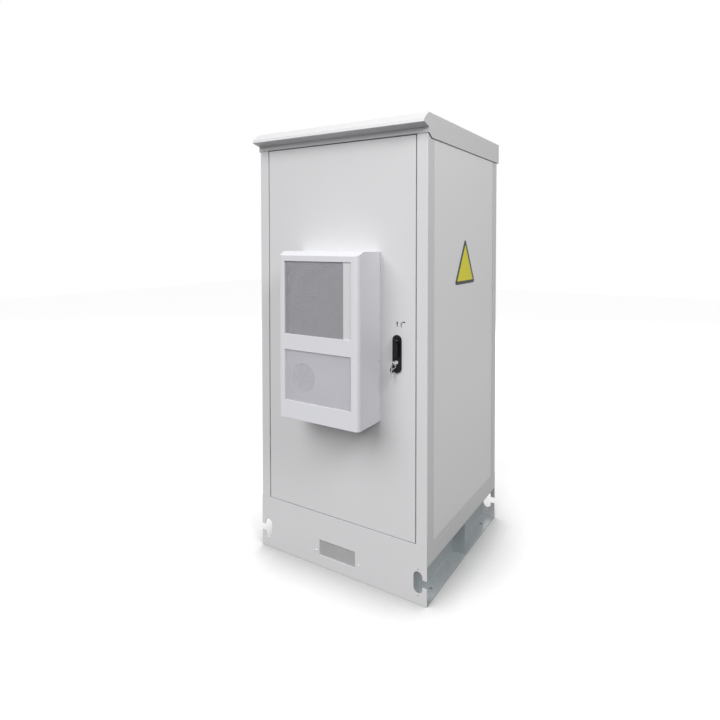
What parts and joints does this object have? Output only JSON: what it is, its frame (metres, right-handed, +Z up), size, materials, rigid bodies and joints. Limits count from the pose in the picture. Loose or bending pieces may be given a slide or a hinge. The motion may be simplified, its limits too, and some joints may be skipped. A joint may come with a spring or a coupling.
{
  "type": "roadside utility cabinet",
  "caption": "Free-standing outdoor equipment cabinet: hinged front door with an air conditioner and a lift-and-turn rod lock, overhanging folded roof and a base with fork openings.",
  "frame": {"origin": "on the floor, at the centre of the four anchor holes", "axes": "+Z up, the door faces -Y, +X to the right as seen from the front"},
  "size_m": [0.91, 1.038, 2.017],
  "materials": {
    "cabinet_paint": "fine powder coat, light grey",
    "panel_paint": "smooth powder coat, off-white",
    "base_zinc": "hot-dip galvanised",
    "unit_paint": "smooth powder coat, cool off-white",
    "mesh_paint": "perforated sheet, grey",
    "zinc_steel": "zinc plated sheet",
    "seal_rubber": "matt rubber",
    "coil_fins": "coated fins",
    "coil_copper": "drawn copper tube",
    "black_plastic": "moulded plastic",
    "black_metal": "satin black enamel",
    "bright_steel": "nickel plated"
  },
  "bodies": {
    "cabinet": {"base_frame": "base_zinc", "base_front_plate": "cabinet_paint", "base_rear_plate": "cabinet_paint", "base_vent_mesh": "mesh_paint", "door_sill": "cabinet_paint", "sill_rails": "cabinet_paint", "front_left_post": "cabinet_paint", "front_right_post": "cabinet_paint", "rear_left_post": "cabinet_paint", "rear_right_post": "cabinet_paint", "top_rails": "cabinet_paint", "front_header": "cabinet_paint", "rear_header": "cabinet_paint", "left_side_panel": "panel_paint", "right_side_panel": "panel_paint", "rear_panel": "panel_paint", "roof_cap": "cabinet_paint", "ceiling_panel": "cabinet_paint", "floor_plate": "zinc_steel", "cable_edging": "seal_rubber", "front_left_rack_rail": "zinc_steel", "front_right_rack_rail": "zinc_steel", "rear_left_rack_rail": "zinc_steel", "rear_right_rack_rail": "zinc_steel", "frame_hinge_arms": "zinc_steel", "hinge_pins": "bright_steel"},
    "door": {"door_panel": "cabinet_paint", "door_stiffeners": "cabinet_paint", "door_gasket": "seal_rubber", "door_hinge_leaves": "zinc_steel", "unit_chassis": "zinc_steel", "unit_cover": "unit_paint", "upper_grille": "mesh_paint", "lower_grille": "mesh_paint", "condenser_coil": "coil_fins", "coil_bends": "coil_copper", "coil_baffle": "unit_paint", "fan_shroud": "unit_paint", "fan_motor": "black_metal", "compressor": "black_metal", "compressor_feet": "seal_rubber", "inner_housing": "zinc_steel", "evaporator_coil": "coil_fins", "blower_motor": "black_metal", "handle_escutcheon": "black_metal", "lock_case": "zinc_steel", "rod_guides": "black_plastic"},
    "spindle": {"handle_spindle": "black_metal", "drive_pinion": "zinc_steel", "lever_pin": "bright_steel"},
    "lever": {"handle_lever": "black_metal"},
    "key": {"lock_plug": "bright_steel", "door_key": "bright_steel", "key_ring": "bright_steel", "spare_key": "bright_steel", "short_spare_key": "bright_steel"},
    "upper_rod": {"upper_lock_rod": "zinc_steel"},
    "lower_rod": {"lower_lock_rod": "zinc_steel"},
    "fan": {"fan_impeller": "coil_fins"},
    "blower": {"blower_wheel": "black_plastic"}
  },
  "joints": [
    {"name": "door_swing", "type": "hinge", "parent": "cabinet", "child": "door", "pos_m": [-0.387, -0.417, 1.092], "axis": [0, 0, -1], "range_deg": [0, 110]},
    {"name": "handle_turn", "type": "hinge", "parent": "door", "child": "spindle", "pos_m": [0.3105, -0.425, 1.0895], "axis": [0, 1, 0], "range_deg": [0, 90]},
    {"name": "handle_lift", "type": "hinge", "parent": "spindle", "child": "lever", "pos_m": [0.3105, -0.4418, 1.0895], "axis": [-1, 0, 0], "range_deg": [0, 40]},
    {"name": "key_turn", "type": "hinge", "parent": "door", "child": "key", "pos_m": [0.3105, -0.425, 0.996], "axis": [0, -1, 0], "range_deg": [0, 90]},
    {"name": "upper_rod_slide", "type": "slide", "parent": "door", "child": "upper_rod", "axis": [0, 0, -1], "range_m": [0, 0.0189]},
    {"name": "lower_rod_slide", "type": "slide", "parent": "door", "child": "lower_rod", "axis": [0, 0, 1], "range_m": [0, 0.0189]},
    {"name": "fan_spin", "type": "hinge", "parent": "door", "child": "fan", "pos_m": [-0.0785, -0.515, 0.9085], "axis": [0, 1, 0], "continuous": true},
    {"name": "blower_spin", "type": "hinge", "parent": "door", "child": "blower", "pos_m": [0.0185, -0.355, 0.92], "axis": [0, 1, 0], "continuous": true}
  ],
  "couplings": [
    {"joint": "upper_rod_slide", "follows": "handle_turn", "m_per_rad": 0.012},
    {"joint": "lower_rod_slide", "follows": "handle_turn", "m_per_rad": 0.012}
  ]
}
